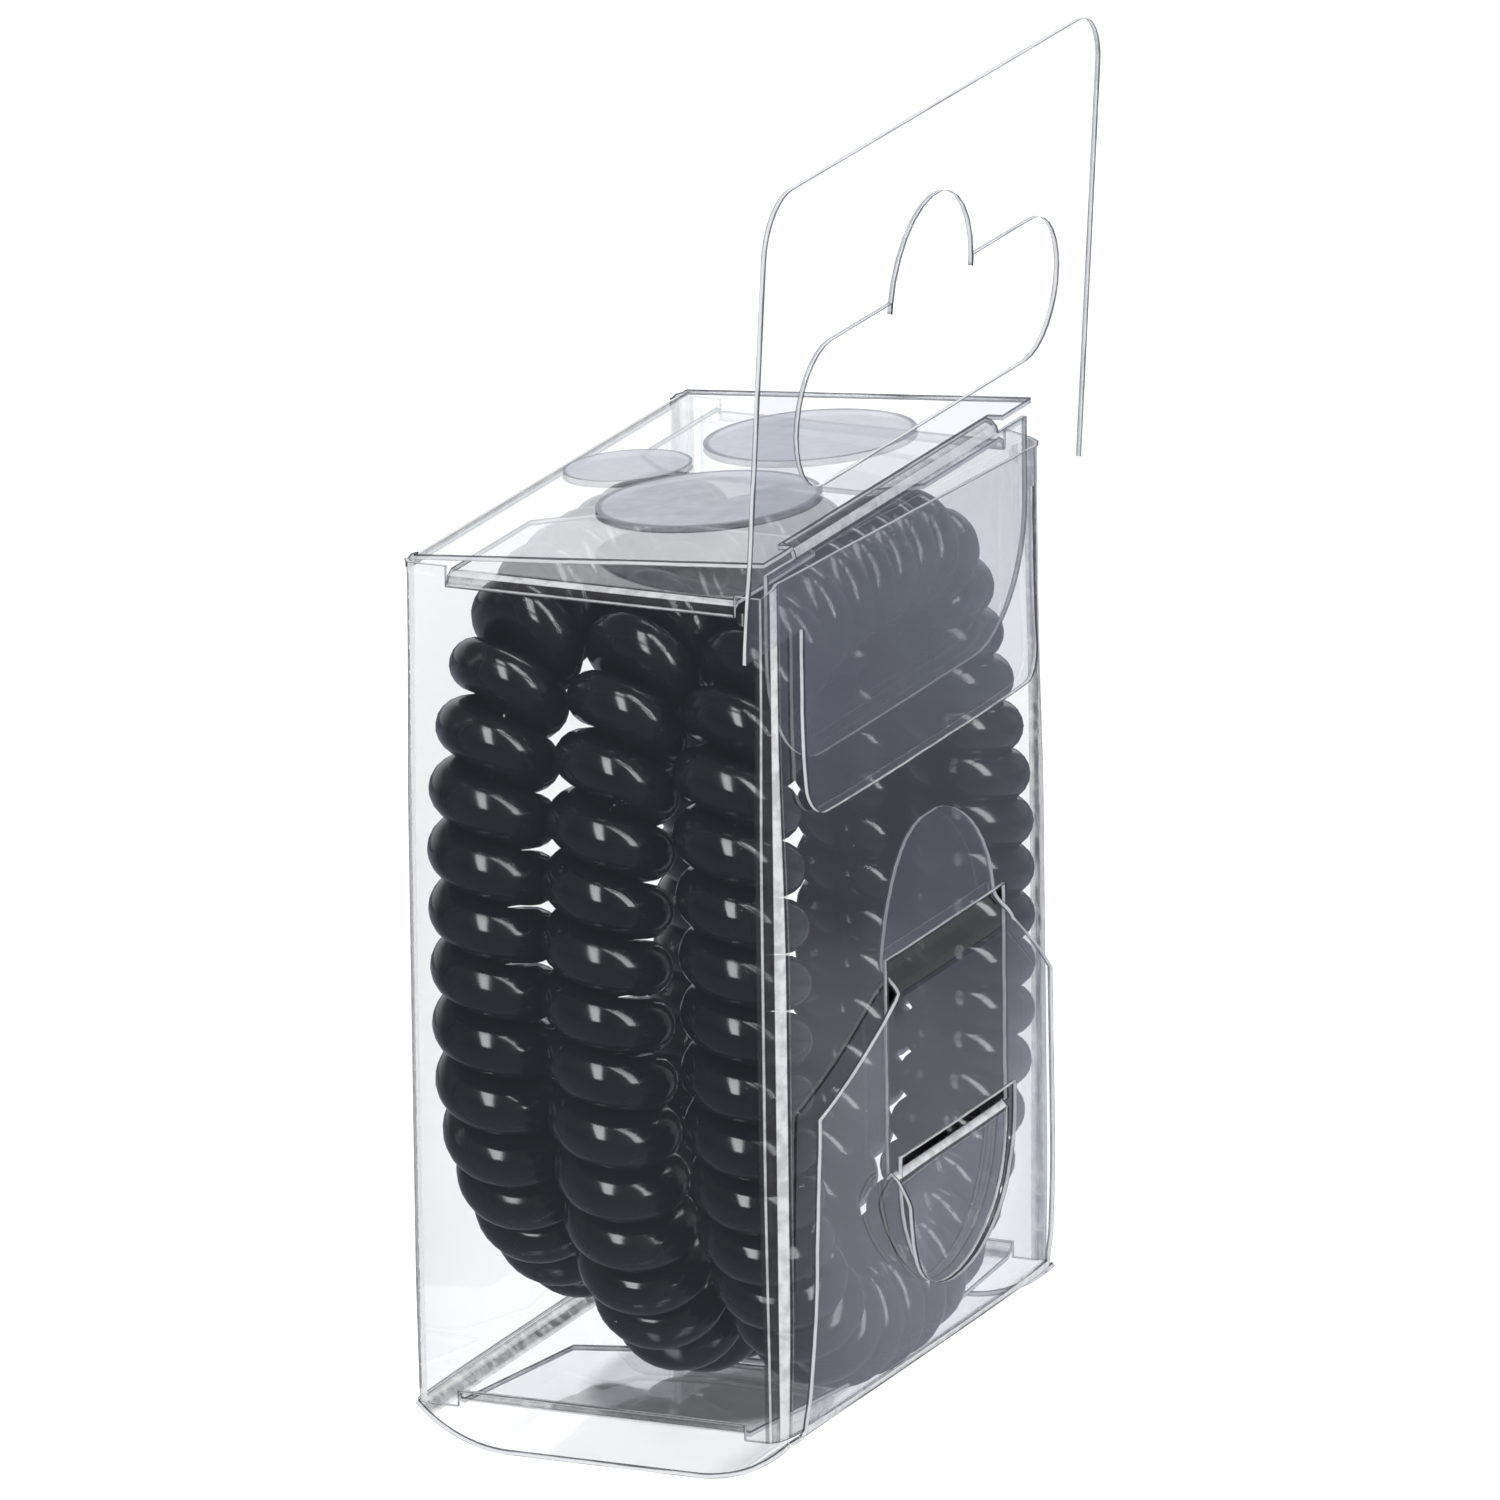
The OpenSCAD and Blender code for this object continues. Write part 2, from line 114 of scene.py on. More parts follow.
# ---------------------------------------------------------------- meshes
def add_piece(name, points, faces, body, nodes, materials, face_slots=None):
    """Makes a mesh piece from millimetres, and puts it in the frame."""
    mesh = bpy.data.meshes.new(name)
    mesh.from_pydata((np.asarray(points) * MM).tolist(), [], faces)
    for material in materials:
        mesh.materials.append(material)
    if face_slots is not None:
        mesh.polygons.foreach_set("material_index", face_slots)
    mesh.polygons.foreach_set("use_smooth", [True] * len(mesh.polygons))
    mesh.update()
    obj = bpy.data.objects.new(name, mesh)
    bpy.context.scene.collection.objects.link(obj)
    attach(obj, body)
    if nodes:
        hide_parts(*nodes)
    return obj


def set_numbers(obj, name, values):
    """Keeps a number for each point on the mesh, for its material."""
    obj.data.attributes.new(name, "FLOAT", "POINT").data.foreach_set("value", values)


def inside(loop, points):
    """Which points lie inside a closed outline."""
    x, y = points[:, 0], points[:, 1]
    hit = np.zeros(len(points), bool)
    for (x0, y0), (x1, y1) in zip(loop, np.roll(loop, -1, axis=0)):
        if y0 == y1:
            continue
        hit ^= ((y0 > y) != (y1 > y)) & (x < (x1 - x0) * (y - y0) / (y1 - y0) + x0)
    return hit


def on_sheet(loops, points):
    """Which points lie inside the first outline and outside the others, its holes."""
    keep = inside(loops[0], points)
    for loop in loops[1:]:
        keep &= ~inside(loop, points)
    return keep


def fine(loop, step):
    """The outline with no side longer than a step."""
    out = []
    for a, b in zip(loop, np.roll(loop, -1, axis=0)):
        count = max(1, math.ceil(np.linalg.norm(b - a) / step))
        out += [a + (b - a) * k / count for k in range(count)]
    return np.array(out)


def arc(centre, r, start, end, count=12):
    """Points on an arc, in degrees."""
    turns = np.radians(np.linspace(start, end, count))
    return [(centre[0] + r * math.cos(a), centre[1] + r * math.sin(a)) for a in turns]


def sheet_normals(where, flat, step=0.02):
    """Normals of the sheet where(u, v) at these places, from its slopes."""
    u, v = flat[:, 0], flat[:, 1]
    least, most = u.min(), u.max()
    along_u = where(np.minimum(u + step, most), v)[0] - where(np.maximum(u - step, least), v)[0]
    along_v = where(u, v + step)[0] - where(u, v - step)[0]
    normal = np.cross(along_u, along_v)
    return normal / np.maximum(np.linalg.norm(normal, axis=1), TINY)[:, None]


def film(name, outer, holes, rows, columns, where, body, nodes, open_sides=(), creases=()):
    """A thin clear sheet cut to an outline in its own plane, folded by where(u, v), with its cut edge.

    open_sides are the runs at which the outline has no cut edge. creases are rows of [middle run,
    half width], and each point's place beside one is kept on the mesh for the material.
    """
    loops = [fine(np.array(loop, float), OUTLINE_STEP) for loop in [outer] + list(holes)]
    ways = (-CREASE_END, -2, -1, 0, 1, 2, CREASE_END)
    beside = [middle + way * half for middle, half in creases for way in ways]
    rows = [u for u in rows if all(abs(u - b) > ROW_GAP for b in beside)] + beside
    lattice = np.array([(u, v) for u in rows for v in columns])
    border = np.concatenate(loops)
    near = np.min(np.linalg.norm(lattice[:, None] - border[None], axis=2), axis=1)
    lattice = lattice[on_sheet(loops, lattice) & (near > BORDER_GAP)]
    points = [Vector(p) for p in np.concatenate([border, lattice])]
    edges, start = [], 0
    for loop in loops:
        count = len(loop)
        edges += [(start + k, start + (k + 1) % count) for k in range(count)]
        start += count
    got, _, faces, _, _, _ = delaunay_2d_cdt(points, edges, [], 0, 1e-5, False)
    flat = np.array([tuple(p) for p in got])
    faces = np.array([f for f in faces if len(f) == 3])
    faces = faces[on_sheet(loops, flat[faces].mean(axis=1))]
    at, plain = where(flat[:, 0], flat[:, 1])
    normal = sheet_normals(where, flat)
    plain = plain * np.sign(np.sum(plain * normal, axis=1, keepdims=True))
    shading = (1 - PLAIN_SHARE) * normal + PLAIN_SHARE * plain
    corner = at[faces]
    facing = np.cross(corner[:, 1] - corner[:, 0], corner[:, 2] - corner[:, 0])
    turned = np.sum(facing * normal[faces[:, 0]], axis=1) < 0
    faces[turned] = faces[turned][:, ::-1]
    all_points, all_faces, slots = [at], faces.tolist(), [0] * len(faces)
    across = [np.zeros(len(flat))]
    base = len(flat)
    for loop in loops:
        p, n = where(loop[:, 0], loop[:, 1])
        count = len(loop)
        all_points += [p + n * T / 2, p - n * T / 2]
        across += [np.zeros(count), np.ones(count)]
        for k in range(count):
            m = (k + 1) % count
            if any(max(abs(loop[k][0] - s), abs(loop[m][0] - s)) < SAME for s in open_sides):
                continue
            all_faces.append([base + k, base + m, base + count + m, base + count + k])
            slots.append(1)
        base += 2 * count
    obj = add_piece(name, np.concatenate(all_points), all_faces, body, nodes,
                    [clear, edge], face_slots=slots)
    shown = np.zeros((base, 3))
    shown[:len(flat)] = shading / np.linalg.norm(shading, axis=1)[:, None]
    obj.data.normals_split_custom_set_from_vertices(shown.tolist())
    place, share = np.zeros(base), np.zeros(base)
    for run, half in creases:
        beside = (flat[:, 0] - run) / half
        close = abs(beside) <= CREASE_END + SAME
        place[:len(flat)][close] = beside[close]
        share[:len(flat)][close] = np.clip(CREASE_END - abs(beside[close]), 0, 1)
    set_numbers(obj, "crease_place", place)
    set_numbers(obj, "crease_share", share)
    set_numbers(obj, "edge_across", np.concatenate(across))


def path(folds, at, heading):
    """Runs, places and headings on a folded sheet's middle, from rows of [run, turn, bend radius]."""
    rows = [(0.0, at[0], at[1], math.radians(heading))]
    for run, turn, r in folds:
        s, a, b, h = rows[-1]
        if run:
            rows.append((s + run, a + run * math.cos(h), b + run * math.sin(h), h))
        if turn:
            s, a, b, h = rows[-1]
            turned = math.radians(turn)
            r = math.copysign(r, turned)
            ca, cb = a - r * math.sin(h), b + r * math.cos(h)
            for k in range(1, BEND_STEPS + 1):
                g = h + turned * k / BEND_STEPS
                run_on = s + turned * r * k / BEND_STEPS
                rows.append((run_on, ca + r * math.sin(g), cb - r * math.cos(g), g))
    return np.array(rows)


def along(rows, s):
    """Place and left normal of a folded sheet's middle at these runs."""
    a, b, h = (np.interp(s, rows[:, 0], rows[:, k]) for k in (1, 2, 3))
    return a, b, -np.sin(h), np.cos(h)


def dense(rows, step=1.5):
    """Runs at which a folded sheet is sampled: every station, and every step between."""
    out = set(rows[:, 0].round(4))
    for a, b in zip(rows[:-1, 0], rows[1:, 0]):
        count = math.ceil((b - a) / step)
        out |= {round(a + (b - a) * k / count, 4) for k in range(1, count)}
    return sorted(out)


# ---------------------------------------------------------------- materials
class Graph:
    """A material's or world's nodes, made and joined in one go."""

    def __init__(self, tree):
        self.tree = tree
        tree.nodes.clear()

    def add(self, kind, settings=None, **inputs):
        """A node with these settings. Each input is a value or another node's output."""
        node = self.tree.nodes.new("ShaderNode" + kind)
        for name, value in (settings or {}).items():
            setattr(node, name, value)
        for name, value in inputs.items():
            spot = int(name[1:]) if name[1:].isdigit() else name.replace("_", " ")
            if isinstance(value, bpy.types.NodeSocket):
                self.tree.links.new(value, node.inputs[spot])
            else:
                node.inputs[spot].default_value = value
        return node

    def math(self, operation, a, b=0.0, c=0.0):
        return self.add("Math", {"operation": operation}, i0=a, i1=b, i2=c).outputs[0]

    def spread(self, value, from_low, from_high, to_low, to_high, kind="LINEAR"):
        return self.add("MapRange", {"interpolation_type": kind}, Value=value, From_Min=from_low,
                        From_Max=from_high, To_Min=to_low, To_Max=to_high).outputs["Result"]

    def noise(self, scale, detail=2.0):
        place = self.add("TexCoord").outputs["Object"]
        return self.add("TexNoise", Vector=place, Scale=scale, Detail=detail).outputs["Fac"]

    def ramp(self, value, rows):
        node = self.add("ValToRGB", Fac=value)
        stops = node.color_ramp.elements
        while len(stops) < len(rows):
            stops.new(0.5)
        for stop, (position, colour) in zip(stops, rows):
            stop.position = position
            stop.color = colour
        return node

    def kept(self, name):
        """The number that the mesh keeps for each point."""
        return self.add("Attribute", {"attribute_name": name}).outputs["Fac"]

    def between(self, share, none, full):
        """The colour at this share of the way from one to the other."""
        return self.add("Mix", {"data_type": "RGBA"}, i0=share, i6=none, i7=full).outputs[2]

    def end_clear(self, share, through, shader):
        """Ends a see-through material: this share of the shader, and the rest goes through."""
        mix = self.add("MixShader", Fac=share, i1=through.outputs[0], i2=shader.outputs[0])
        self.add("OutputMaterial", Surface=mix.outputs[0])


def material_graph(name):
    material = bpy.data.materials.new(name)
    material.use_nodes = True
    return material, Graph(material.node_tree)


HEAD_ON = 0.0492  # what one face of the sheet mirrors when it is met head on


def film_material():
    """Clear plastic sheet with a mirror share that grows towards grazing, and painted pale highlight
    lines and dark reflection lines along its creases, the pale ones partly the film's stress whitening.
    """
    material, g = material_graph("clear_film")
    facing = g.add("LayerWeight", Blend=0.5).outputs["Facing"]
    one_face = g.math("MULTIPLY_ADD", g.math("POWER", facing, 5.0), 1 - HEAD_ON, HEAD_ON)
    both = g.math("SUBTRACT", 2.0, g.math("DIVIDE", 2.0, g.math("ADD", one_face, 1.0)))
    scuff = g.noise(90.0, 5.0)
    share = g.math("MULTIPLY", both, g.spread(scuff, 0.3, 0.7, 0.9, 1.1))
    place = g.spread(g.kept("crease_place"), -CREASE_END, CREASE_END, 0.0, 1.0)
    dark, pale, grey = (0.06, 0.06, 0.07), (0.93, 0.95, 0.98), (0.4, 0.42, 0.47)
    # Pale highlight lines and dark reflection lines painted across each crease, the pale ones partly
    # stress whitening.
    line = g.ramp(place, [
        (0.235, (*dark, 0)), (0.255, (*dark, 0.65)), (0.315, (*dark, 0.65)), (0.325, (*pale, 0.7)),
        (0.355, (*pale, 0.7)), (0.365, (*dark, 0.6)), (0.42, (0.1, 0.1, 0.12, 0.45)),
        (0.5, (*dark, 0.65)), (0.515, (*pale, 0.95)), (0.665, (*pale, 0.95)), (0.68, (*dark, 0.7)),
        (0.73, (*dark, 0.5)), (0.75, (*grey, 0.5)), (0.775, (*grey, 0.5)), (0.79, (*dark, 0))])
    speck = g.spread(g.noise(1500.0), 0.35, 0.65, 0.75, 1.1)
    # Painted crease lines, broken up by specks and fading out beside the crease.
    painted_crease_lines = g.math("MULTIPLY", g.math("MULTIPLY", line.outputs["Alpha"], speck), g.kept("crease_share"))
    on_painted_line = g.spread(painted_crease_lines, 0.02, 0.2, 0.0, 1.0)
    rough = g.math("MAXIMUM", g.spread(scuff, 0.3, 0.7, 0.03, 0.07), g.math("MULTIPLY", on_painted_line, 0.3))
    tone = g.between(on_painted_line, (0.97, 0.985, 1.0, 1), line.outputs["Color"])
    shine = g.add("BsdfPrincipled", Base_Color=tone, Metallic=g.math("SUBTRACT", 1.0, on_painted_line),
                  Roughness=rough)
    through = g.add("BsdfTransparent", Color=(0.955, 0.96, 0.968, 1))
    g.end_clear(g.math("MAXIMUM", share, painted_crease_lines), through, shine)
    return material


def edge_material():
    """Cut edge of the film, painted dark and pale across: a bright line over dark things, grey over
    white. The dark bands are a painted dark reflection; the pale band is the cut's frost with a painted
    glint.
    """
    material, g = material_graph("film_edge")
    through = g.add("BsdfTransparent", Color=(0.8, 0.82, 0.85, 1))
    wander = g.math("ADD", g.kept("edge_across"), g.spread(g.noise(300.0, 4.0), 0.3, 0.7, -0.12, 0.12))
    pale = (0.9, 0.92, 0.95, 1)
    # Painted across the edge: dark bands as its dark reflection, and a pale band as its frost with a
    # painted glint.
    tone = g.ramp(wander, [(0.3, (0.07, 0.076, 0.09, 1)), (0.4, pale), (0.87, pale),
                           (0.97, (0.2, 0.21, 0.24, 1))])
    frost_and_painted_lines = g.add("BsdfPrincipled", Base_Color=tone.outputs["Color"], Roughness=0.25)
    g.end_clear(g.spread(g.noise(900.0), 0.3, 0.7, 0.78, 0.95), through, frost_and_painted_lines)
    return material


def cord_material():
    """Glossy black springy plastic with faint mould texture."""
    material, g = material_graph("black_spring")
    cloud = g.noise(350.0, 6.0)
    tone = g.ramp(cloud, [(0.3, (0.006, 0.006, 0.008, 1)), (0.75, (0.012, 0.012, 0.015, 1))])
    bump = g.add("Bump", Strength=0.03, Distance=0.00005, Height=g.noise(450.0, 4.0))
    plastic = g.add("BsdfPrincipled", Base_Color=tone.outputs["Color"], Specular_IOR_Level=0.45,
                    Roughness=g.spread(cloud, 0.2, 0.8, 0.08, 0.2), Normal=bump.outputs["Normal"])
    g.add("OutputMaterial", Surface=plastic.outputs[0])
    return material


def print_material():
    """Thin grey-blue ink that lets light through, darker along the disc's rim."""
    material, g = material_graph("pale_ink")
    ink, rim = (0.62, 0.65, 0.73), (0.22, 0.24, 0.3, 0.85)
    tone = g.ramp(g.kept("ring"), [(0.0, (*ink, 0.76)), (0.93, (*ink, 0.8)), (0.96, rim), (1.0, rim)])
    print_coat = g.add("BsdfPrincipled", Base_Color=tone.outputs["Color"], Roughness=0.4)
    share = g.math("MULTIPLY", tone.outputs["Alpha"], g.spread(g.noise(700.0, 4.0), 0.3, 0.7, 0.85, 1.1))
    g.end_clear(share, g.add("BsdfTransparent"), print_coat)
    return material


clear = film_material()
printed = print_material()
edge = edge_material()
black = cord_material()

# ---------------------------------------------------------------- springy bulge of the walls
def hill(z, low, high, soft_low, soft_high):
    """1 between low and high, falling smoothly to 0 beyond."""
    def smooth(t):
        t = np.clip(t, 0, 1)
        return t * t * (3 - 2 * t)
    return smooth((z - low + soft_low) / soft_low) * smooth((high + soft_high - z) / soft_high)


def bulge(depth, height, across, half):
    """A wall's bulge: full along its middle and none at its side creases."""
    return depth * height * (1 - (across / half) ** 4)


def front_bulge(y, z):
    return bulge(1.5, hill(z, 10, 27, 14, 14), y, NARROW)


def back_bulge(y, z):
    return bulge(1.05, hill(z, 10, 34, 10, 11), y, NARROW)


def narrow_bulge(x, z):
    return bulge(1.0, hill(z, 18, 32, 15, 13), x, FRONT)


# ---------------------------------------------------------------- sleeve
WIDE = BOX_W - 2 * CREASE_R - T
DEEP = BOX_D - 2 * CREASE_R - T
BEND = CREASE_R * math.pi / 2
# Runs at which the walls and creases start, from the crease between the back and the near wall
STARTS = np.cumsum([0, WIDE, BEND, DEEP, BEND, WIDE, BEND, DEEP])
ROUND = STARTS[-1] + BEND
ON_WALL = 0.2  # how far from a side of the box a point still counts as on its wall


def on_sleeve(u, z):
    """Place and outward normal on the sleeve. Runs: near wall, front panel, far wall, back panel."""
    at = np.zeros((len(u), 3))
    normal = np.zeros((len(u), 3))
    at[:, 2] = z
    side_x, side_y = FRONT - T / 2, NARROW - T / 2
    # Flat walls: start corner, direction, normal, length
    flats = [((-side_x + CREASE_R, -side_y), (1, 0), (0, -1), WIDE),
             ((side_x, -side_y + CREASE_R), (0, 1), (1, 0), DEEP),
             ((side_x - CREASE_R, side_y), (-1, 0), (0, 1), WIDE),
             ((-side_x, side_y - CREASE_R), (0, -1), (-1, 0), DEEP)]
    for k, (start, way, out, length) in enumerate(flats):
        run = u - STARTS[2 * k]
        flat = (run >= 0) & (run <= length)
        at[flat, 0] = start[0] + way[0] * run[flat]
        at[flat, 1] = start[1] + way[1] * run[flat]
        normal[flat, :2] = out
        turn = run - length
        bend = (turn > 0) & (turn <= BEND + TINY)
        end = (start[0] + way[0] * length, start[1] + way[1] * length)
        hub = (end[0] - out[0] * CREASE_R, end[1] - out[1] * CREASE_R)
        angle = turn[bend] / CREASE_R
        nx = out[0] * np.cos(angle) + way[0] * np.sin(angle)
        ny = out[1] * np.cos(angle) + way[1] * np.sin(angle)
        at[bend, 0], at[bend, 1] = hub[0] + CREASE_R * nx, hub[1] + CREASE_R * ny
        normal[bend, 0], normal[bend, 1] = nx, ny
    x, y = at[:, 0].copy(), at[:, 1].copy()
    at[:, 0] += np.where(x > FRONT - ON_WALL, front_bulge(y, z), 0)
    at[:, 0] -= np.where(x < ON_WALL - FRONT, back_bulge(y, z), 0)
    at[:, 1] += np.sign(y) * np.where(abs(y) > NARROW - ON_WALL, narrow_bulge(x, z), 0)
    return at, normal


FLAP_LOW_X, FLAP_HIGH_X = -FRONT + 2.6, FRONT - 2.2
FLAP_CUT_TOP, FLAP_CUT_LOW = 46.4, 3.25


def near_run(x):
    return STARTS[0] + x + FRONT - T / 2 - CREASE_R


def far_run(x):
    return STARTS[4] + FRONT - T / 2 - CREASE_R - x


def front_run(y):
    return STARTS[2] + y + NARROW - T / 2 - CREASE_R


low, top = WALL_LOW, WALL_TOP
near_low, near_high = near_run(FLAP_LOW_X), near_run(FLAP_HIGH_X)
far_low, far_high = far_run(FLAP_LOW_X), far_run(FLAP_HIGH_X)
sleeve_outline = [
    (0, low), (near_low, low), (near_low, FLAP_CUT_LOW), (near_high, FLAP_CUT_LOW), (near_high, low),
    (STARTS[1], low), (STARTS[2], low + 0.2), (STARTS[3], low + 0.2), (STARTS[4], low),
    (far_high, low), (far_high, FLAP_CUT_LOW), (far_low, FLAP_CUT_LOW), (far_low, low),
    (ROUND, low), (ROUND, top), (STARTS[7], top), (STARTS[7] - 0.05, BACK_TOP),
    (STARTS[6] + 0.05, BACK_TOP), (STARTS[6], top), (far_low, top), (far_low, FLAP_CUT_TOP),
    (far_high, FLAP_CUT_TOP), (far_high, top), (STARTS[3], top - 0.5), (STARTS[2], top + 0.7),
    (STARTS[1], top), (near_high, top), (near_high, FLAP_CUT_TOP), (near_low, FLAP_CUT_TOP),
    (near_low, top), (0, top)]
LOCK_Y = 1.0
WINDOW_HALF, WINDOW_LOW, WINDOW_TOP = 7.75, 13.9, 25.6
window_near, window_far = front_run(LOCK_Y - WINDOW_HALF), front_run(LOCK_Y + WINDOW_HALF)
window = [(window_near, WINDOW_LOW), (window_far, WINDOW_LOW),
          (window_far, WINDOW_TOP), (window_near, WINDOW_TOP)]
CREASE_ROWS, WIDE_ROWS, DEEP_ROWS = 9, 15, 25
sleeve_rows = []
for k in range(8):
    end = STARTS[k + 1] if k < 7 else ROUND
    count = CREASE_ROWS if k % 2 else (WIDE_ROWS if k % 4 == 0 else DEEP_ROWS)
    sleeve_rows += list(np.linspace(STARTS[k], end, count)[:-1])
film("clear_sleeve", sleeve_outline, [window], sleeve_rows, np.linspace(3, 46.9, 34), on_sleeve,
     "box", ["sleeve"], open_sides=(0, ROUND),
     creases=[(STARTS[k] + BEND / 2, BEND / 2) for k in (1, 3, 5, 7)])


# ---------------------------------------------------------------- lid and tuck flap
lid_path = path([[0, -90, FOLD_R], [LID_REACH, 0, 0]], (T / 2, 0), 90)
LID_END = lid_path[-1, 0]
LID_BEND = LID_END - LID_REACH
LID_HALF, LID_FOLD_HALF, LID_NOTCH = 17.2, 16.65, 13.5
LID_SLIT = LID_END - 0.85
PRINT_LIFT = 0.02  # how far the discs stand off the lid's film
DISC_SIDES, DISC_RINGS = 64, 12


def on_lid(s, y):
    a, b, na, nb = along(lid_path, s)
    c, d = math.cos(LID_LIFT), math.sin(LID_LIFT)
    at = np.stack([-FRONT + a * c - b * d, y, HINGE_Z + a * d + b * c], axis=1)
    return at, np.stack([na * c - nb * d, 0 * y, na * d + nb * c], axis=1)


lid_outline = [
    (0, -LID_FOLD_HALF), (LID_BEND, -LID_FOLD_HALF), (LID_BEND, -LID_HALF), (LID_END, -LID_HALF),
    (LID_END, -LID_NOTCH), (LID_SLIT, -LID_NOTCH), (LID_SLIT, LID_NOTCH), (LID_END, LID_NOTCH),
    (LID_END, LID_HALF), (LID_BEND, LID_HALF), (LID_BEND, LID_FOLD_HALF), (0, LID_FOLD_HALF)]
film("clear_lid", lid_outline, [], dense(lid_path), np.linspace(-LID_FOLD_HALF, LID_FOLD_HALF, 68),
     on_lid, "lid", ["lid"], creases=[(LID_BEND / 2, LID_BEND / 2)])


def lid_disc(number, x, y, r):
    """A plain pale disc printed on the lid, with a thin darker rim."""
    rings = np.linspace(0, r, DISC_RINGS)
    turns = np.linspace(0, 2 * math.pi, DISC_SIDES, endpoint=False)
    s = LID_BEND + x + FRONT - 1
    flat = [(s + q * math.sin(a), y + q * math.cos(a)) for q in rings[1:] for a in turns]
    flat = np.array(flat + [(s, y)])
    at, normal = on_lid(flat[:, 0], flat[:, 1])
    faces, last = [], len(flat) - 1
    for k in range(DISC_SIDES):
        m = (k + 1) % DISC_SIDES
        faces.append([last, k, m])
        for j in range(DISC_RINGS - 2):
            inner, outer = DISC_SIDES * j, DISC_SIDES * (j + 1)
            faces.append([inner + k, outer + k, outer + m, inner + m])
    obj = add_piece(f"lid_disc_{number}", at + normal * (T / 2 + PRINT_LIFT), faces, "lid", [],
                    [printed])
    set_numbers(obj, "ring", np.append(np.repeat(rings[1:] / r, DISC_SIDES), 0))


lid_disc(1, -5.8, 1.4, 3.4)
lid_disc(2, 1.6, -4.8, 5.9)
lid_disc(3, 1.5, 8.4, 5.6)

TUCK_RUN, TUCK_HALF, TUCK_NECK, TUCK_ROUND = 11.2, 16.6, 13, 7
tuck_path = path([[0, -90, FOLD_R], [TUCK_RUN, 0, 0]], (0, T / 2), 0)
TUCK_END = tuck_path[-1, 0]
TUCK_BEND = TUCK_END - TUCK_RUN


def on_tuck(s, y):
    a, b, na, nb = along(tuck_path, s)
    return np.stack([TUCK_X + a, y, TUCK_Z + b], axis=1), np.stack([na, 0 * y, nb], axis=1)


tuck_outline = (
    [(0, -TUCK_NECK), (TUCK_BEND, -TUCK_NECK), (TUCK_BEND, -TUCK_HALF)]
    + arc((TUCK_END - TUCK_ROUND, -TUCK_HALF + TUCK_ROUND), TUCK_ROUND, 270, 360)
    + arc((TUCK_END - TUCK_ROUND, TUCK_HALF - TUCK_ROUND), TUCK_ROUND, 0, 90)
    + [(TUCK_BEND, TUCK_HALF), (TUCK_BEND, TUCK_NECK), (0, TUCK_NECK)])
film("clear_tuck_flap", tuck_outline, [], dense(tuck_path), np.arange(-16, 16.1, 0.5), on_tuck,
     "tuck", ["tuck_flap"], creases=[(TUCK_BEND / 2, TUCK_BEND / 2)])


# ---------------------------------------------------------------- dust flaps
FLAP_CLEAR, FLAP_CORNER = 0.05, 2.5
TOP_FLAP_RUN, TOP_FLAP_Z = 12.2, 46.45
LOW_FLAP_RUN, LOW_FLAP_RISE, LOW_FLAP_Z, LOW_FLAP_SAG = 16.2, 1.1, 3.2, 0.8


def dust_flap(name, side, folds, start, node, lift):
    """A flap folded in from the near wall (side -1) or the far wall (1). lift(x, run) bends it up."""
    rows = path(folds, start, 90 if start[1] > 20 else -90)
    end = rows[-1, 0]
    x0, x1 = FLAP_LOW_X + FLAP_CLEAR, FLAP_HIGH_X - FLAP_CLEAR
    outline = [(0, x0), (end - FLAP_CORNER, x0), (end, x0 + FLAP_CORNER),
               (end, x1 - FLAP_CORNER), (end - FLAP_CORNER, x1), (0, x1)]

    def where(s, x):
        a, b, na, nb = along(rows, s)
        at = np.stack([x, side * -a, b + lift(x, a)], axis=1)
        return at, np.stack([0 * x, side * -na, nb], axis=1)

    bend = rows[BEND_STEPS, 0] / 2
    film(name, outline, [], dense(rows), np.linspace(x0, x1, 34), where, "box", [node],
         creases=[(bend, bend)])


def level(x, a):
    return 0 * x


def sag(x, a):
    return -LOW_FLAP_SAG * (1 - (x / 9) ** 2) * np.clip(1 + a / NARROW, 0, 1)


slope = math.degrees(math.atan2(LOW_FLAP_RISE, LOW_FLAP_RUN))
top_folds = [[0, -90, FOLD_R], [TOP_FLAP_RUN, 0, 0]]
low_folds = [[0, 90 - slope, FOLD_R], [LOW_FLAP_RUN / math.cos(math.radians(slope)), 0, 0]]
for side, word in ((-1, "near"), (1, "far")):
    dust_flap("clear_top_flap_" + word, side, top_folds, (-NARROW + T / 2, TOP_FLAP_Z),
              "top_dust_flap_" + word, level)
    dust_flap("clear_bottom_flap_" + word, side, low_folds, (-NARROW + T / 2, LOW_FLAP_Z),
              "bottom_dust_flap_" + word, sag)

# ---------------------------------------------------------------- bottom, lock flap and tongue
SAG_RUN, SAG_DIP = 5.2, 2.2
LOCK_BEND_R, TONGUE_BEND_R, TONGUE_TURN = 0.6, 1.0, 46.5
LEAN = math.radians(0.3)
SHOULDER_Z, FOOT_Z, TONGUE_Z = WALL_LOW + 16.9, WALL_LOW + 21.4, WALL_LOW + 21.6
BOTTOM_HALF, LOW_HALF, SHOULDER_HALF, TONGUE_HALF = 17.2, 15.75, 14.95, 7.5
side_angle = 2 * math.atan(SAG_DIP / SAG_RUN)
sag_r = SAG_RUN / math.sin(side_angle)
up_turn = math.pi / 2 - LEAN - side_angle
up_width = LOCK_BEND_R * (math.sin(math.pi / 2 - LEAN) - math.sin(side_angle))
from_x, from_z = -FRONT + T / 2, WALL_LOW - 0.05
flap_x = FRONT + 0.2 + T / 2
flat_run = flap_x - from_x - 2 * SAG_RUN - up_width
foot_z = from_z + LOCK_BEND_R * (math.cos(side_angle) - math.cos(math.pi / 2 - LEAN))
bend_run = (FOOT_Z - T - foot_z) / math.cos(LEAN)
bend_x = flap_x + bend_run * math.sin(LEAN)
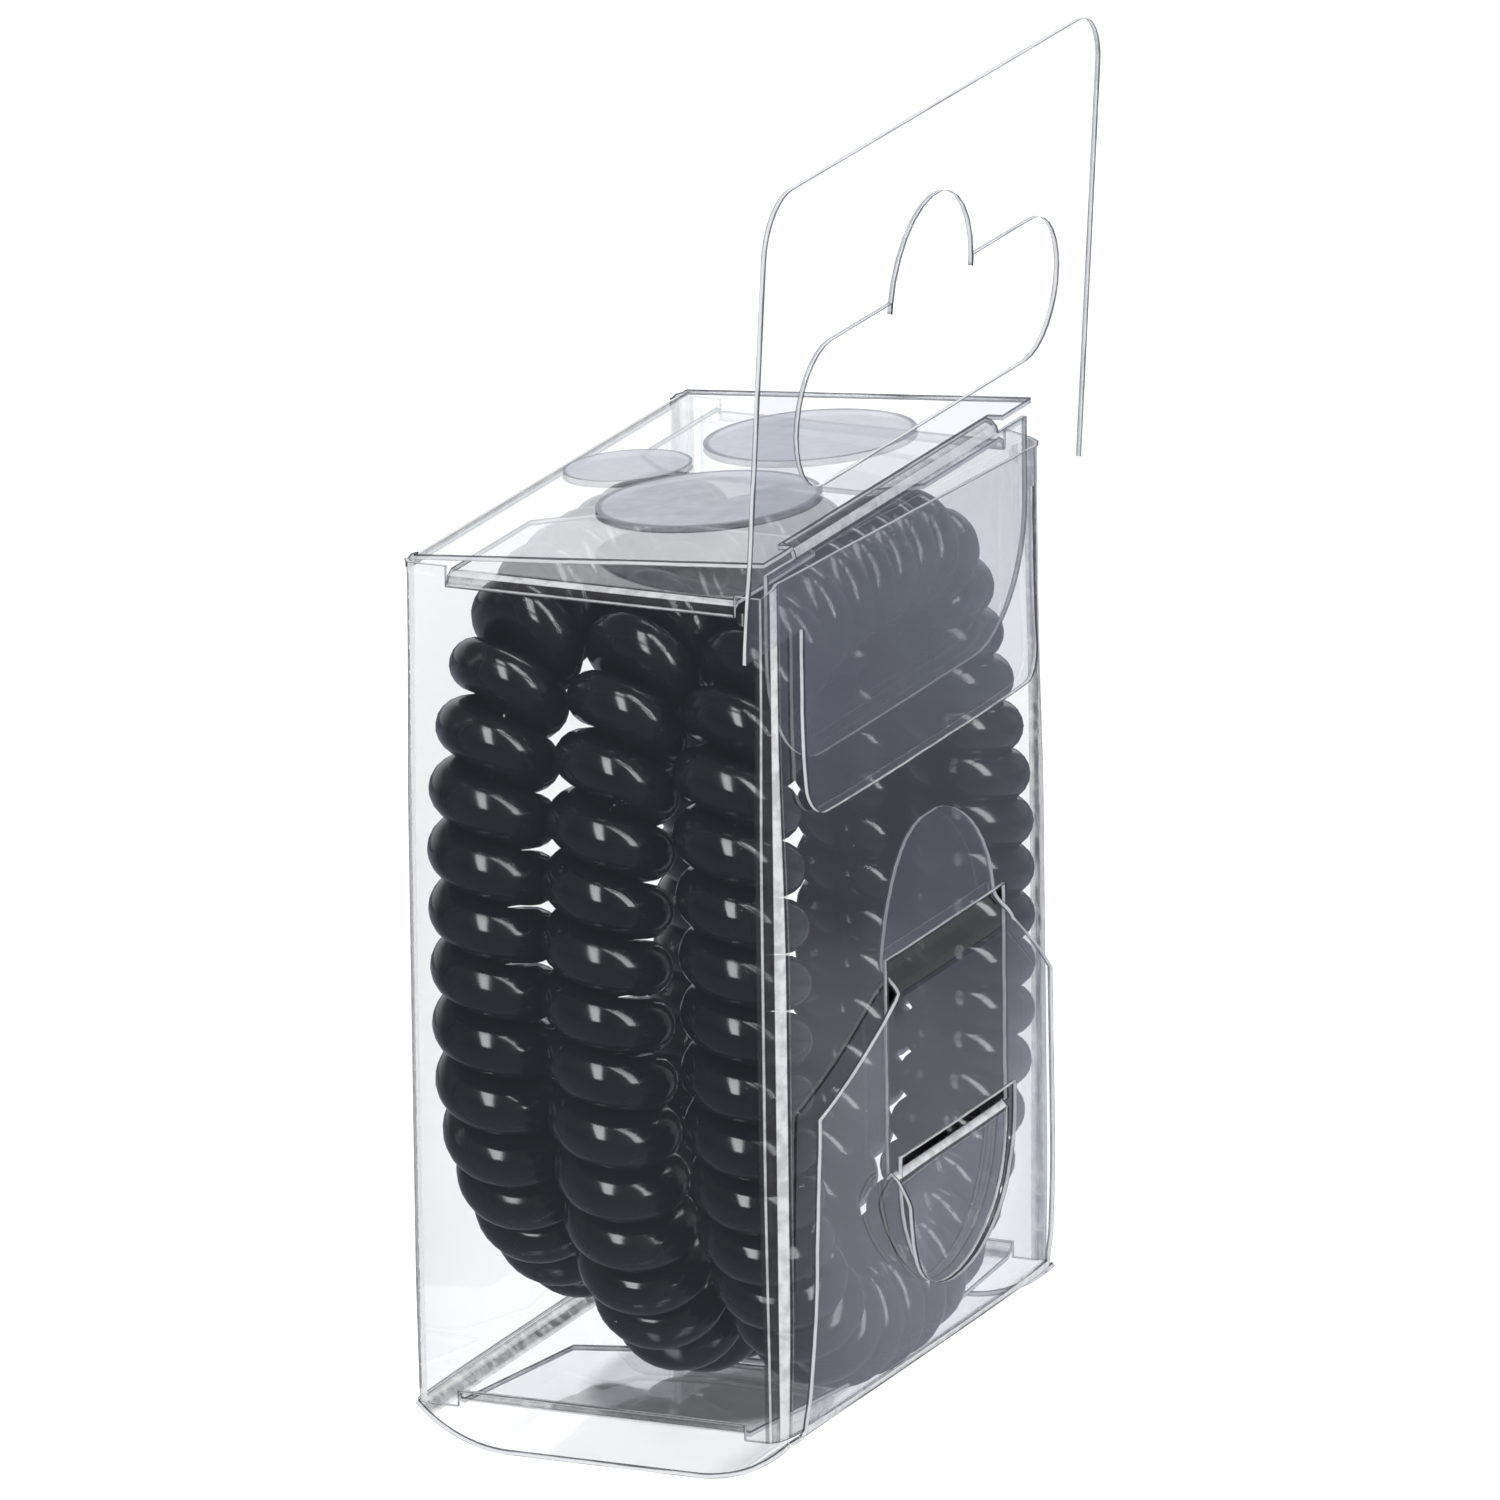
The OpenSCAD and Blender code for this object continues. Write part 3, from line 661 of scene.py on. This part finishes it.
inside_x = FRONT - T - 0.15 - T / 2
bends_width = math.cos(LEAN) + 1 - 2 * math.cos(math.pi / 4)
cross = (bend_x - inside_x - bends_width) / math.sin(math.pi / 4)
lock_path = path(
    [[0, math.degrees(side_angle), sag_r], [flat_run, math.degrees(side_angle), sag_r],
     [0, math.degrees(up_turn), LOCK_BEND_R], [bend_run, TONGUE_TURN, TONGUE_BEND_R],
     [cross, -45, TONGUE_BEND_R], [6, 0, 0]],
    (from_x, from_z), -math.degrees(side_angle))
rising = lock_path[lock_path[:, 1] > flap_x - 2]
rising = rising[rising[:, 2] > WALL_LOW - 0.2]


def lock_run(z):
    """Run along the lock flap at a height."""
    return float(np.interp(z, rising[:, 2], rising[:, 0]))


def on_lock(s, y):
    a, b, na, nb = along(lock_path, s)
    a = a + np.where(a > 8, front_bulge(y, b) * np.clip((b - 1.5) / 3, 0, 1), 0)
    return np.stack([a, y, b], axis=1), np.stack([na, 0 * y, nb], axis=1)


low_run = lock_run(WALL_LOW - 0.1)
shoulder, foot, tongue_run = lock_run(SHOULDER_Z), lock_run(FOOT_Z), lock_run(TONGUE_Z)
tip = [(lock_run(TONGUE_Z + TONGUE_HALF * math.sin(a)), LOCK_Y - TONGUE_HALF * math.cos(a))
       for a in np.linspace(0.05, math.pi - 0.05, 23)]
lock_outline = (
    [(0, -BOTTOM_HALF), (low_run, -BOTTOM_HALF), (low_run, -LOW_HALF), (shoulder, -SHOULDER_HALF),
     (foot, LOCK_Y - TONGUE_HALF), (tongue_run, LOCK_Y - TONGUE_HALF)]
    + tip
    + [(tongue_run, LOCK_Y + TONGUE_HALF), (foot, LOCK_Y + TONGUE_HALF), (shoulder, SHOULDER_HALF),
       (low_run, LOW_HALF), (low_run, BOTTOM_HALF), (0, BOTTOM_HALF)])
HOLE_Z, HOLE_R, HOLE_OVER = WALL_LOW + 11.5, 7.5, 1.1
lock_hole = [(lock_run(HOLE_Z - HOLE_R * math.sin(a)), LOCK_Y - HOLE_R * math.cos(a))
             for a in np.linspace(0, math.pi, 25)]
lock_hole += [(lock_run(HOLE_Z + HOLE_OVER), LOCK_Y + HOLE_R),
              (lock_run(HOLE_Z + HOLE_OVER), LOCK_Y - HOLE_R)]
BACK_CREASE, BOTTOM_CREASE = (0.4, 0.4), (lock_run(WALL_LOW - 0.3), 0.6)
film("clear_bottom_lock_flap", lock_outline, [lock_hole], dense(lock_path), np.linspace(-17, 17, 25),
     on_lock, "box", ["bottom_lock_flap"], creases=[BACK_CREASE, BOTTOM_CREASE])

TAB_FOLD, TAB_R = 0.3, 7.2
tab_path = path([[0, -180, TAB_FOLD], [TAB_R + 0.1, 0, 0]], (FRONT - T / 2, HOLE_Z + 0.05), 90)
TAB_BEND = math.pi * TAB_FOLD


def on_lock_tab(s, y):
    """The tab hangs a little to the near side, where its rim curls out over the flap."""
    a, b, na, nb = along(tab_path, s)
    curl = 0.8 * np.clip((LOCK_Y - 3 - y) / 5, 0, 1) ** 2 * np.clip((HOLE_Z + 0.3 - b) / 1.5, 0, 1)
    return np.stack([a + front_bulge(y, b) + curl, y, b], axis=1), np.stack([na, 0 * y, nb], axis=1)


TAB_Y = LOCK_Y - 0.9
lock_tab_outline = [(TAB_BEND + 0.05 + TAB_R * math.sin(a), TAB_Y - TAB_R * math.cos(a))
                    for a in np.linspace(0, math.pi, 25)]
lock_tab_outline += [(0, TAB_Y + TAB_R), (0, TAB_Y - TAB_R)]
film("clear_lock_tab", lock_tab_outline, [], dense(tab_path), np.linspace(-7, 7, 16), on_lock_tab,
     "box", ["lock_tab"], creases=[(TAB_BEND / 2, TAB_BEND / 2)])

# ---------------------------------------------------------------- hang tab
TAB_LEAN = math.radians(3.5)
TAB_DROP = 2.3  # from the wall's top down to the tab's bend
tab_bend = WALL_TOP - TAB_DROP
TAB_TOP = TAB_DROP + 22.2


def on_tab(s, y):
    """Runs count from the tab's bend, up the leaning tab and down the strip on the front panel."""
    up_part = s > 0
    x = FRONT + 0.05 + T / 2 + np.where(up_part, s * math.sin(TAB_LEAN), front_bulge(y, tab_bend + s))
    z = tab_bend + np.where(up_part, s * math.cos(TAB_LEAN), s)
    at = np.stack([x, y, z], axis=1)
    nx = np.where(up_part, math.cos(TAB_LEAN), 1)
    return at, np.stack([nx, 0 * y, np.where(up_part, -math.sin(TAB_LEAN), 0)], axis=1)


STRIP_LOW, STRIP_HALF, STRIP_MID, STRIP_R = -10.1, 14.8, 0.5, 1.8
TAB_HALF, TAB_MID, TAB_CORNER = 21.5, 0.0, 3
tab_outline = (
    arc((STRIP_LOW + STRIP_R, STRIP_MID + STRIP_HALF - STRIP_R), STRIP_R, 180, 90, 8)
    + [(0, STRIP_MID + STRIP_HALF), (0, TAB_MID + TAB_HALF)]
    + arc((TAB_TOP - TAB_CORNER, TAB_MID + TAB_HALF - TAB_CORNER), TAB_CORNER, 90, 0, 10)
    + arc((TAB_TOP - TAB_CORNER, TAB_MID - TAB_HALF + TAB_CORNER), TAB_CORNER, 0, -90, 10)
    + [(0, TAB_MID - TAB_HALF), (0, STRIP_MID - STRIP_HALF)]
    + arc((STRIP_LOW + STRIP_R, STRIP_MID - STRIP_HALF + STRIP_R), STRIP_R, 270, 180, 8))
SLOT_LOW, BAR, SLOT_H, HUMP, SLOT_MID = TAB_DROP + 5.0, 7.7, 12.3, 10.4, 0.5
SLOT_HALF = 16.75
bar_r, hump_r = BAR / 2, HUMP / 2
hump_low = SLOT_LOW + SLOT_H - hump_r
slot_outline = (
    arc((SLOT_LOW + bar_r, SLOT_MID - SLOT_HALF + bar_r), bar_r, 180, 360, 16)
    + [(SLOT_LOW + BAR, SLOT_MID - hump_r), (hump_low, SLOT_MID - hump_r)]
    + [(hump_low + hump_r * math.sin(a), SLOT_MID - hump_r * math.cos(a))
       for a in np.linspace(0.1, math.pi - 0.1, 14)]
    + [(hump_low, SLOT_MID + hump_r), (SLOT_LOW + BAR, SLOT_MID + hump_r)]
    + arc((SLOT_LOW + bar_r, SLOT_MID + SLOT_HALF - bar_r), bar_r, 0, 180, 16))
tab_rows = list(np.linspace(-10, -0.8, 8)) + [0] + list(np.linspace(1, 24, 18))
film("clear_hang_tab", tab_outline, [slot_outline], tab_rows, np.linspace(-21, 21, 30), on_tab,
     "box", ["hang_tab"], open_sides=(0,))


# ---------------------------------------------------------------- hair ties
CORD_R, COIL_R = 1.42, 3.45
TURN_STEPS, CORD_SIDES = 34, 20
PITCH_Y, PITCH = (-14, 14), (3.07, 2.56)  # mm a turn, from the near side to the far side
TOP_SQUEEZE = 0.14  # how much narrower the coils are near the lid
SMOOTH_SPAN = 43  # samples over which a tie's line is smoothed


def closed_line(points, step=0.1):
    """A smooth closed line through these places, sampled evenly."""
    p = np.array(points, float)
    s = np.linspace(0, 1, 40, endpoint=False)[:, None]
    parts = []
    for k in range(len(p)):
        a, b, c, d = (p[(k + j) % len(p)] for j in (-1, 0, 1, 2))
        square, cube = 2 * a - 5 * b + 4 * c - d, 3 * b - a - 3 * c + d
        parts.append((2 * b + (c - a) * s + square * s ** 2 + cube * s ** 3) / 2)
    line = np.concatenate(parts)
    line = np.vstack([line, line[:1]])
    run = np.concatenate([[0], np.cumsum(np.linalg.norm(np.diff(line, axis=0), axis=1))])
    even = np.linspace(0, run[-1], round(run[-1] / step), endpoint=False)
    line = np.stack([np.interp(even, run, line[:, k]) for k in range(3)], axis=1)
    window = np.hanning(SMOOTH_SPAN)[1:-1]
    window /= window.sum()
    reach = len(window) // 2
    wrapped = np.vstack([line[-reach:], line, line[:reach]])
    return np.stack([np.convolve(wrapped[:, k], window, "valid") for k in range(3)], axis=1)


def hair_tie(number, points, phase):
    """A cord wound into an endless coil along a closed line, from the near side down first."""
    line = closed_line(points)
    way = np.roll(line, -1, axis=0) - np.roll(line, 1, axis=0)
    pitch = np.interp(line[:, 1], PITCH_Y, PITCH)
    stride = np.linalg.norm(np.roll(line, -1, axis=0) - line, axis=1)
    turn = np.concatenate([[0], np.cumsum(stride / pitch)])
    turns = round(turn[-1])
    turn *= turns / turn[-1]
    count = turns * TURN_STEPS
    t = np.arange(-2, count + 2) / TURN_STEPS
    line, way = (np.vstack([rows, rows[:1]]) for rows in (line, way))
    x, y, z = (np.interp(t % turns, turn, line[:, k]) for k in range(3))
    way_y, way_z = (np.interp(t % turns, turn, way[:, k]) for k in (1, 2))
    long = np.hypot(way_y, way_z)
    out_y, out_z = way_z / long, -way_y / long
    wind = COIL_R - CORD_R - TOP_SQUEEZE * np.clip((z - 30) / 12, 0, 1)
    angle = 2 * math.pi * (t + phase)
    out = wind * np.cos(angle)
    at = np.stack([x + wind * np.sin(angle), y + out * out_y, z + out * out_z], axis=1)
    ahead = at[2:] - at[:-2]
    ahead /= np.linalg.norm(ahead, axis=1)[:, None]
    at, angle, out_y, out_z = at[1:-1], angle[1:-1], out_y[1:-1], out_z[1:-1]
    away = np.stack([np.sin(angle), np.cos(angle) * out_y, np.cos(angle) * out_z], axis=1)
    beside = np.cross(ahead, away)
    beside /= np.linalg.norm(beside, axis=1)[:, None]
    away = np.cross(beside, ahead)
    at, away, beside = at[1:-1], away[1:-1], beside[1:-1]
    ring = 2 * math.pi * np.arange(CORD_SIDES) / CORD_SIDES
    round_cord = (np.cos(ring)[None, :, None] * away[:, None]
                  + np.sin(ring)[None, :, None] * beside[:, None])
    points = at[:, None] + CORD_R * round_cord
    faces = []
    for i in range(count):
        here, then = i * CORD_SIDES, (i + 1) % count * CORD_SIDES
        for k in range(CORD_SIDES):
            m = (k + 1) % CORD_SIDES
            faces.append([here + k, then + k, then + m, here + m])
    add_piece(f"spiral_tie_{number}", points.reshape(-1, 3), faces, "box", [f"hair_tie_{number}"],
              [black])


def placed(x, rows):
    """Places from rows of [y, z] or [y, z, x]."""
    return [(row[2] if len(row) > 2 else x, row[0], row[1]) for row in rows]


hair_tie(1, placed(-7.2, [
    (-13.7, 24.0, -7.02), (-13.5, 21.2, -7.05), (-13.1, 18.8, -7.12), (-12.3, 16.4), (-11.0, 14.1),
    (-9.4, 12.1), (-7.8, 10.6), (-5.9, 9.2), (-3.6, 8.0), (-1.0, 7.2), (1.8, 6.9), (4.6, 7.2),
    (7.2, 8.4), (9.7, 10.4), (11.8, 13.2, -7.0), (13.1, 16.6, -6.8), (13.8, 20.5, -6.7),
    (14.0, 25.0, -6.68), (14.0, 29.5, -6.7), (13.7, 33.5, -6.8), (13.1, 37.0, -6.95),
    (12.0, 40.0, -7.0), (10.2, 41.9, -6.95), (7.0, 42.9, -6.95), (3.0, 43.1, -6.95),
    (-1.0, 43.1, -6.95), (-5.0, 43.0, -6.95), (-8.3, 42.4, -6.95), (-10.6, 41.1, -7.0),
    (-12.1, 38.8, -7.1), (-13.1, 36.0, -7.2), (-13.6, 33.0, -7.15), (-13.8, 30.2, -7.08),
    (-13.8, 27.2, -7.02)]), 0.242)
hair_tie(2, placed(-0.5, [
    (-14.2, 24.0, -0.56), (-14.1, 21.0), (-13.9, 18.3), (-13.3, 15.8), (-12.4, 13.3), (-11.4, 11.0),
    (-10.0, 9.0), (-8.4, 7.2), (-6.3, 5.6), (-4.0, 4.7), (-1.5, 4.3, -0.35), (1.5, 4.3, -0.2),
    (4.3, 4.6, -0.1), (7.2, 6.0, 0.05), (9.8, 8.4, 0.2), (11.8, 11.5, 0.6), (13.3, 15.2, 1.0),
    (14.3, 19.3, 1.12), (14.6, 24.0, 1.1), (14.5, 29.0, 0.95), (14.0, 33.6, 0.55),
    (13.2, 37.2, 0.15), (11.7, 40.2, -0.1), (9.4, 42.1, -0.3), (6.0, 42.9, -0.4), (2.0, 43.0),
    (-2.0, 42.9), (-6.0, 42.4), (-9.5, 40.8), (-11.9, 37.8), (-13.3, 34.4), (-13.9, 30.8, -0.54),
    (-14.2, 27.4, -0.56)]), 0.936)
hair_tie(3, placed(7.1, [
    (-13.8, 24.0), (-13.8, 21.0), (-13.4, 17.6), (-12.6, 14.3), (-11.4, 11.2), (-9.8, 8.9),
    (-8.0, 7.1), (-5.9, 5.5), (-3.5, 4.6), (-0.8, 4.25), (2.0, 4.25), (4.4, 4.5), (6.6, 5.1),
    (8.7, 6.2), (10.5, 7.9, 7.15), (12.2, 10.1, 7.2), (13.5, 12.8, 7.22), (14.2, 15.6, 7.28),
    (14.35, 18.5, 7.32), (14.35, 23.0, 7.32), (14.35, 27.0, 7.3), (14.3, 30.5, 7.05),
    (14.2, 33.5, 6.6), (14.0, 36.2, 6.1), (13.7, 38.4, 5.85), (13.0, 40.4, 5.72),
    (11.7, 41.9, 5.68), (9.7, 42.7, 5.68), (6.5, 42.9, 5.68), (2.5, 42.9, 5.68), (-1.5, 42.8, 5.68),
    (-5.0, 42.2, 5.7), (-8.2, 41.0, 5.72), (-10.7, 38.9, 5.8), (-12.4, 36.0, 6.05),
    (-13.3, 32.6, 6.55), (-13.7, 28.6, 6.98)]), 0.915)


# ---------------------------------------------------------------- floor, world and lights
WHITE_SEEN, WHITE_LIT = 1.35, 0.85  # the floor's and world's white for the camera and for other rays
# A soft shadow painted on the floor under the box: for each axis, the shift and half width in metres
PAINTED_SHADOW = (("X", 0.0006, 0.0072), ("Y", -0.0035, 0.0128))


def floor():
    """White to the camera, with a soft shadow painted under the box.

    In reflections it is dark in front of the box and paler behind it.
    """
    mesh = bpy.data.meshes.new("floor")
    mesh.from_pydata([(-3, -3, 0), (3, -3, 0), (3, 3, 0), (-3, 3, 0)], [], [(0, 1, 2, 3)])
    material, g = material_graph("floor_white")
    rays = g.add("LightPath").outputs
    at = g.add("SeparateXYZ", Vector=g.add("NewGeometry").outputs["Position"]).outputs
    dim, bright = (0.2, 0.21, 0.25, 1), (0.48, 0.5, 0.56, 1)
    grey, pale = (0.23, 0.24, 0.29, 1), (0.3, 0.32, 0.37, 1)
    mirrored = g.ramp(g.spread(at["Y"], -0.1, 0.3, 0.0, 1.0), [
        (0.0, (0.17, 0.18, 0.22, 1)), (0.18, dim), (0.31, bright), (0.39, bright), (0.46, grey),
        (0.56, grey), (0.62, pale), (0.72, pale), (0.85, dim)])
    parts = []
    for axis, shift, half in PAINTED_SHADOW:
        away = g.math("ABSOLUTE", g.math("ADD", at[axis], shift))
        parts.append(g.math("POWER", g.math("DIVIDE", away, half), 3.0))
    reach = g.math("POWER", g.math("ADD", *parts), 1 / 3)
    # Painted shadow: the floor is darker inside the patch under the box.
    under = g.spread(reach, 0.82, 1.02, 0.32, WHITE_SEEN, "SMOOTHSTEP")
    white = g.spread(rays["Is Camera Ray"], 0.0, 1.0, WHITE_LIT, WHITE_SEEN)
    tone = g.math("MINIMUM", under, white)
    plain = g.add("CombineColor", Red=tone, Green=tone, Blue=tone).outputs["Color"]
    glow = g.between(rays["Is Glossy Ray"], plain, mirrored.outputs["Color"])
    shader = g.add("BsdfPrincipled", Base_Color=(0, 0, 0, 1), Specular_IOR_Level=0.0,
                   Emission_Color=glow, Emission_Strength=1.0)
    g.add("OutputMaterial", Surface=shader.outputs[0])
    mesh.materials.append(material)
    obj = bpy.data.objects.new("floor", mesh)
    bpy.context.scene.collection.objects.link(obj)
    obj.location.z = -0.0002


def world():
    """White behind everything.

    In reflections it is a studio: pale low at the back, grey to the right and dark in front.
    """
    studio = bpy.data.worlds.new("studio")
    bpy.context.scene.world = studio
    studio.use_nodes = True
    g = Graph(studio.node_tree)
    way = g.add("SeparateXYZ", Vector=g.add("TexCoord").outputs["Generated"]).outputs
    back = g.math("MULTIPLY", g.spread(way["Y"], -0.2, 0.5, 0.0, 1.0, "SMOOTHSTEP"),
                  g.spread(way["X"], -0.2, 0.15, 1.15, 0.4, "SMOOTHSTEP"))
    side = g.spread(way["X"], 0.3, 0.95, 0.08, 0.4, "SMOOTHSTEP")
    low = g.math("MAXIMUM", back, side)
    above = g.spread(way["Z"], 0.3, 0.6, 0.0, 1.0, "SMOOTHSTEP")
    below = g.math("MULTIPLY", low, g.math("SUBTRACT", 1.0, above))
    strength = g.math("ADD", below, g.math("MULTIPLY", above, 0.15))
    dim = g.add("Background", Color=(0.96, 0.98, 1.0, 1), Strength=strength)
    rays = g.add("LightPath").outputs
    seen = g.spread(rays["Is Camera Ray"], 0.0, 1.0, WHITE_LIT, WHITE_SEEN)
    white = g.add("Background", Color=(1, 1, 1, 1), Strength=seen)
    mix = g.add("MixShader", Fac=rays["Is Glossy Ray"], i1=white.outputs[0], i2=dim.outputs[0])
    g.add("OutputWorld", Surface=mix.outputs[0])


def lamp(name, azimuth, elevation, wide, tall, radiance, far=1.3):
    """A soft panel that spans these angles in degrees, as seen from the box."""
    way = direction(math.radians(azimuth), math.radians(elevation))
    data = bpy.data.lights.new(name, "AREA")
    data.shape = "RECTANGLE"
    data.size = 2 * far * math.tan(math.radians(wide / 2))
    data.size_y = 2 * far * math.tan(math.radians(tall / 2))
    data.energy = radiance * data.size * data.size_y * math.pi
    obj = bpy.data.objects.new(name, data)
    bpy.context.scene.collection.objects.link(obj)
    obj.location = Vector((0, 0, 0.024)) + far * way
    obj.rotation_mode = "QUATERNION"
    obj.rotation_quaternion = way.to_track_quat("Z", "Y")
    obj.visible_camera = False
    obj.visible_diffuse = False


floor()
world()
lamp("strip_front", 8, 46, 14, 62, 14)
lamp("strip_right", 70, 42, 15, 64, 14)
lamp("strip_back", 170, 50, 30, 14, 8)
